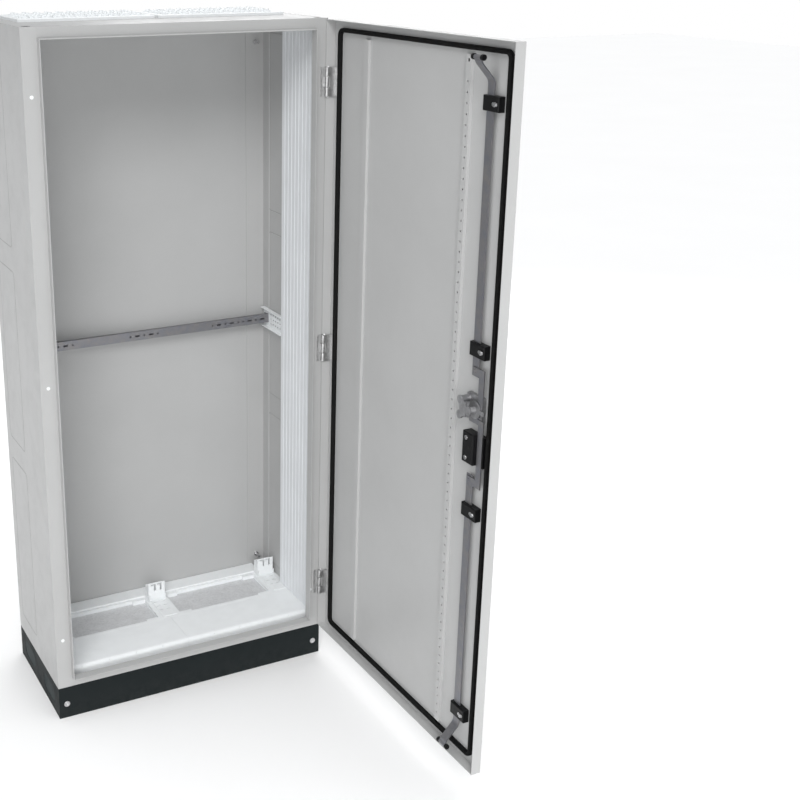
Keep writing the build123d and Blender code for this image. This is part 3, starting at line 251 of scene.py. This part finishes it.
def cast_zinc(name, colour, roughness):
    """Tumbled zinc casting: fine pitting and soft, slightly wavy faces."""
    f = Finish(name, roughness, metallic=1.0)
    cloud = f.share(f.noise(9, detail=4, rough=0.6), 0.3, 0.7)
    pits = f.remap(f.cells(1.3), 0.0, 0.22, 1, 0)
    tone = f.mix(cloud, shade(colour, 0.82), shade(colour, 1.12))
    f.colour(f.mix(f.times(pits, 0.35), tone, shade(colour, 0.45)))
    f.gloss(f.noise(3, detail=3), 0.3, 0.7, less=0.06, more=0.1)
    f.bump(f.noise(1.6, detail=3, rough=0.6), deep=0.08, strength=0.35)
    f.bump(f.times(pits, -1.0), deep=0.05, strength=0.4)
    return f.material


def galvanised(name, colour, roughness):
    """Hot-dip sheet: small zinc crystals, each with its own tone, under a dull passivated skin."""
    f = Finish(name, roughness, metallic=0.35)
    ragged_waves, ragged_share = 60, 0.012
    wander = f.add("ShaderNodeTexNoise")
    wander.inputs["Scale"].default_value = ragged_waves
    f.link(f.place, wander.inputs["Vector"])
    warp = f.add("ShaderNodeMix", data_type="VECTOR")
    warp.inputs[0].default_value = ragged_share
    f.link(f.place, warp.inputs[4])
    f.link(wander.outputs["Color"], warp.inputs[5])
    tone = f.add("ShaderNodeSeparateColor")
    f.link(f.cells(4.5, at=warp.outputs[1], output="Color"), tone.inputs[0])
    mottled = f.mix(tone.outputs[0], shade(colour, 0.92), shade(colour, 1.06))
    bloom = f.remap(f.noise(30, detail=5, rough=0.7), 0.4, 0.7, 0, 0.6)
    f.colour(f.mix(bloom, mottled, shade(colour, 1.14)))
    f.gloss(tone.outputs[1], 0, 1, less=0.08, more=0.12)
    f.bump(f.noise(2.5, detail=3), deep=0.05, strength=0.3)
    return f.material


def turned_steel(name, colour, roughness):
    """Small turned or headed steel parts: fine tool lines and darker plating in patches."""
    f = Finish(name, roughness, metallic=1.0)
    patch = f.share(f.noise(2.2, detail=4, rough=0.6), 0.35, 0.65)
    f.colour(f.mix(patch, shade(colour, 0.5), colour))
    lines = f.noise(0.25, detail=2, rough=0.6)
    f.gloss(lines, 0.3, 0.7, less=0.05, more=0.1)
    f.bump(lines, deep=0.02, strength=0.4)
    return f.material


def foam_skin(name, colour, roughness):
    """Foamed-in-place polyurethane: matt skin with open pinholes and a lazy pouring wave."""
    f = Finish(name, roughness, specular=0.14)
    pores = f.remap(f.cells(1.1), 0.06, 0.3, 1, 0)
    skin = f.share(f.noise(6, detail=4, rough=0.6), 0.35, 0.65)
    f.colour(f.mix(pores, f.mix(skin, colour, shade(colour, 2.4)), shade(colour, 0.4)))
    f.gloss(f.noise(12, detail=3), 0.3, 0.7, less=0.08, more=0.06)
    f.bump(f.times(pores, -1.0), deep=0.15, strength=0.5)
    f.bump(f.noise(9, detail=2), deep=0.35, strength=0.25)
    return f.material


def floor_finish():
    f = Finish("studio_floor", 0.75, specular=0.2)
    f.colour(f.mix(f.noise(900, detail=3), (0.92, 0.92, 0.92), (0.95, 0.95, 0.95)))
    f.bump(f.noise(6, detail=2), deep=0.1, strength=0.1)
    return f.material


GREY = (0.45, 0.452, 0.45)
PLINTH_BLACK = (0.011, 0.015, 0.016)
BLACK = (0.004, 0.004, 0.0045)


def body_coat(name, colour=GREY, painted_groove_light=None):
    return powder_coat(name, colour, 0.42, painted_groove_light=painted_groove_light)


def plinth_coat(name, painted_groove_light=None):
    return powder_coat(name, PLINTH_BLACK, 0.6, peel=0.9, deep=0.08, dust=0.03, specular=0.14, painted_groove_light=painted_groove_light)


finishes = {
    "plinth_paint": plinth_coat("plinth_paint"),
    "body_paint": body_coat("body_paint"),
    # The door's coat is the body's grey made 1.08 times lighter: painted light, as the real door and body
    # share one paint.
    "door_paint": body_coat("door_paint", shade(GREY, 1.08)),
    "white_plastic": moulded_plastic("white_plastic", (0.84, 0.86, 0.87), 0.42),
    "liner_plastic": extruded_plastic("liner_plastic", (0.78, 0.80, 0.82), 0.40),
    "zinc_plated": plated_steel("zinc_plated", (0.27, 0.27, 0.285), 0.42),
    "gland_sheet": galvanised("gland_sheet", (0.68, 0.685, 0.695), 0.55),
    "bright_steel": turned_steel("bright_steel", (0.74, 0.74, 0.75), 0.25),
    "dark_steel": turned_steel("dark_steel", (0.04, 0.04, 0.043), 0.4),
    "hinge_zinc": cast_zinc("hinge_zinc", (0.62, 0.62, 0.62), 0.40),
    "lock_zinc": cast_zinc("lock_zinc", (0.40, 0.40, 0.41), 0.45),
    "black_plastic": moulded_plastic("black_plastic", BLACK, 0.38, grain=0.5, tint=0.15, specular=0.22),
    "gasket_foam": foam_skin("gasket_foam", (0.003, 0.003, 0.003), 0.75),
}

# Painted light on stamped lines: painted shade (0.72) in the side panels' grooves, a painted highlight (2.2)
# on the plinth's ovals.
body_coat_groove_shade = body_coat("body_paint_groove_shade", painted_groove_light=(1.3, 0.2, 0.72))
plinth_coat_groove_highlight = plinth_coat("plinth_paint_groove_highlight", painted_groove_light=(0.9, 0.4, 2.2))
groove_light_finishes = {"side_panel_left": body_coat_groove_shade, "side_panel_right": body_coat_groove_shade,
                    "plinth_side_panels": plinth_coat_groove_highlight}

slot_of = {p["node"]: p["material_slot"] for p in frame["record"]["subparts"]}
for name, thing in nodes.items():
    thing.data.materials.clear()
    thing.data.materials.append(groove_light_finishes.get(name, finishes[slot_of[name]]))


# ------------------------------------------------------------------ softened edges on the CAD pieces
WELD_REACH = 0.002 * MM
BEVEL_SEGMENTS = 2
SHARP = math.radians(38)        # edges that turn by less stay as they are

BENT_SHEET_EDGE = 0.4 * MM
MOULDED_EDGE = 0.7 * MM
bent_sheet = ("front_header", "front_sill", "door_stiffener", "upper_drive_bar", "lower_drive_bar",
              "rail_cleats", "hinge_frame_leaves", "hinge_door_leaves")
moulded = ("cable_combs", "slotted_strips", "floor_frame_left", "floor_frame_right", "rear_beam",
           "rail_brackets", "lock_case", "lock_cam")


def soften(thing, width):
    """Rounds the edges of a CAD piece by a modifier."""
    weld = thing.modifiers.new("join", "WELD")
    weld.merge_threshold = WELD_REACH
    edge = thing.modifiers.new("edges", "BEVEL")
    edge.width = width
    edge.segments = BEVEL_SEGMENTS
    edge.limit_method = "ANGLE"
    edge.angle_limit = SHARP
    edge.use_clamp_overlap = True
    edge.harden_normals = True


for names, width in ((bent_sheet, BENT_SHEET_EDGE), (moulded, MOULDED_EDGE)):
    for name in names:
        soften(nodes[name], width)


# ------------------------------------------------------------------ the door's seal
BEAD_HALF = 6 * MM              # half the bead's width
BEAD_CORNER = 16 * MM           # radius of its middle line at the door's corners
BEAD_SPACING = 12 * MM          # between sections on the straights
BEAD_STEPS = 12                 # round the back of a section
CORNER_STEPS = 8
FOOT_SHARE = 0.93               # the flat foot's width
SHOULDER_SHARE = 0.30           # height at which the back starts
SIDE_POWER, CROWN_POWER = 0.62, 0.75
SWELL, SWELL_WAVES = 0.012, 14  # share of the section, and waves to the metre


def bead_outline(half, high):
    """Section of the bead: flat foot, bulging sides and a crowned back, as (across, above the skin)."""
    outline = [(half * FOOT_SHARE, 0.0)]
    for step in range(BEAD_STEPS + 1):
        angle = math.pi * step / BEAD_STEPS
        across = math.cos(angle)
        crown = (1 - SHOULDER_SHARE) * math.sin(angle) ** CROWN_POWER
        outline.append((half * math.copysign(abs(across) ** SIDE_POWER, across),
                        high * (SHOULDER_SHARE + crown)))
    outline.append((-half * FOOT_SHARE, 0.0))
    return outline


def rounded_route(y0, y1, z0, z1):
    """Points round a rounded rectangle in the door's plane, each with its outward direction."""
    route = []
    centres = ((y1 - BEAD_CORNER, z1 - BEAD_CORNER), (y0 + BEAD_CORNER, z1 - BEAD_CORNER),
               (y0 + BEAD_CORNER, z0 + BEAD_CORNER), (y1 - BEAD_CORNER, z0 + BEAD_CORNER))
    for index, (cy, cz) in enumerate(centres):
        for step in range(CORNER_STEPS + 1):
            angle = math.pi / 2 * (index + step / CORNER_STEPS)
            outward = Vector((0, math.cos(angle), math.sin(angle)))
            route.append((Vector((0, cy, cz)) + outward * BEAD_CORNER, outward))
        start = route[-1][0]
        finish = Vector((0, *centres[(index + 1) % 4])) + outward * BEAD_CORNER
        count = max(2, int((finish - start).length / BEAD_SPACING))
        route += [(start.lerp(finish, step / count), outward) for step in range(1, count)]
    return route


def door_seal():
    """A foam bead poured round the door's inside, standing off its skin towards the frame."""
    low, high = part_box("door_gasket")
    skin_x = high.x
    route = rounded_route(low.y + BEAD_HALF, high.y - BEAD_HALF, low.z + BEAD_HALF, high.z - BEAD_HALF)
    mesh = bmesh.new()
    rings = []
    for point, outward in route:
        size = 1 + SWELL * (noise.noise(point * SWELL_WAVES) - 1)
        outline = bead_outline(BEAD_HALF * size, (skin_x - low.x) * size)
        rings.append([mesh.verts.new(point + outward * across + Vector((skin_x - above, 0, 0)))
                      for across, above in outline])
    for here, ahead in zip(rings, rings[1:] + rings[:1]):
        for index in range(len(here)):
            after = (index + 1) % len(here)
            mesh.faces.new((here[index], ahead[index], ahead[after], here[after]))
    bmesh.ops.recalc_face_normals(mesh, faces=mesh.faces)
    for face in mesh.faces:
        face.smooth = True
    data = bpy.data.meshes.new("door_seal")
    mesh.to_mesh(data)
    mesh.free()
    seal = bpy.data.objects.new("door_seal", data)
    bpy.context.scene.collection.objects.link(seal)
    data.materials.append(finishes["gasket_foam"])
    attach(seal, "door")
    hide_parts("door_gasket")


door_seal()


# ------------------------------------------------------------------ studio
FLOOR_SIZE = 40
LIGHT_TINT, LIGHT_STRENGTH = (0.97, 0.985, 1.0, 1), 0.42
BACKDROP_TINT, BACKDROP_STRENGTH = (1, 1, 1, 1), 1.0


def area_light(name, at, towards, size, power):
    lamp = bpy.data.lights.new(name, "AREA")
    lamp.shape = "RECTANGLE"
    lamp.size, lamp.size_y = size
    lamp.energy = power
    thing = bpy.data.objects.new(name, lamp)
    bpy.context.scene.collection.objects.link(thing)
    thing.location = at
    thing.rotation_euler = (Vector(towards) - Vector(at)).to_track_quat("-Z", "Y").to_euler()


def sun_light(name, source, power, softness):
    """Light from a direction; softness is its angle in degrees."""
    lamp = bpy.data.lights.new(name, "SUN")
    lamp.energy = power
    lamp.angle = math.radians(softness)
    thing = bpy.data.objects.new(name, lamp)
    bpy.context.scene.collection.objects.link(thing)
    thing.rotation_euler = (-Vector(source)).to_track_quat("-Z", "Y").to_euler()


def studio_world():
    """Pale light from all round, in front of a plain white backdrop."""
    world = bpy.data.worlds.new("studio")
    world.use_nodes = True
    bpy.context.scene.world = world
    tree = world.node_tree
    light = tree.nodes["Background"]
    light.inputs["Color"].default_value = LIGHT_TINT
    light.inputs["Strength"].default_value = LIGHT_STRENGTH
    backdrop = tree.nodes.new("ShaderNodeBackground")
    backdrop.inputs["Color"].default_value = BACKDROP_TINT
    backdrop.inputs["Strength"].default_value = BACKDROP_STRENGTH
    path = tree.nodes.new("ShaderNodeLightPath")
    blend = tree.nodes.new("ShaderNodeMixShader")
    tree.links.new(path.outputs["Is Camera Ray"], blend.inputs[0])
    tree.links.new(light.outputs[0], blend.inputs[1])
    tree.links.new(backdrop.outputs[0], blend.inputs[2])
    tree.links.new(blend.outputs[0], tree.nodes["World Output"].inputs["Surface"])


def studio():
    bpy.ops.mesh.primitive_plane_add(size=FLOOR_SIZE, location=(0, 0, 0))
    floor = bpy.context.object
    floor.name = "studio_floor"
    floor.data.materials.append(floor_finish())
    studio_world()
    sun_light("key", source=(-0.6, -1.0, 0.8), power=1.45, softness=24)
    sun_light("overhead", source=(0.05, -0.1, 1.0), power=1.3, softness=50)
    area_light("inside_fill", at=(-0.9, -3.4, 1.3), towards=(0.1, 0.1, 0.5), size=(1.6, 1.2), power=22)
    area_light("rear_fill", at=(2.6, 3.6, 2.4), towards=(0, 0, 1.0), size=(3.0, 3.0), power=60)


def camera():
    """Left of the front and above the roof, turned towards the open door."""
    at = Vector((-1.2686, -3.3085, 2.1629))
    yaw, pitch = 0.4499, -0.3236
    focal_in_frames = 1.5865
    data = bpy.data.cameras.new("camera")
    data.sensor_width = 36
    data.lens = focal_in_frames * data.sensor_width
    data.shift_x, data.shift_y = 0.17, -0.05
    thing = bpy.data.objects.new("camera", data)
    bpy.context.scene.collection.objects.link(thing)
    thing.location = at
    ahead = Vector((math.sin(yaw) * math.cos(pitch), math.cos(yaw) * math.cos(pitch), math.sin(pitch)))
    thing.rotation_euler = ahead.to_track_quat("-Z", "Y").to_euler()
    bpy.context.scene.camera = thing


studio()
camera()
bpy.context.scene.view_settings.view_transform = "Standard"

bpy.context.view_layer.update()
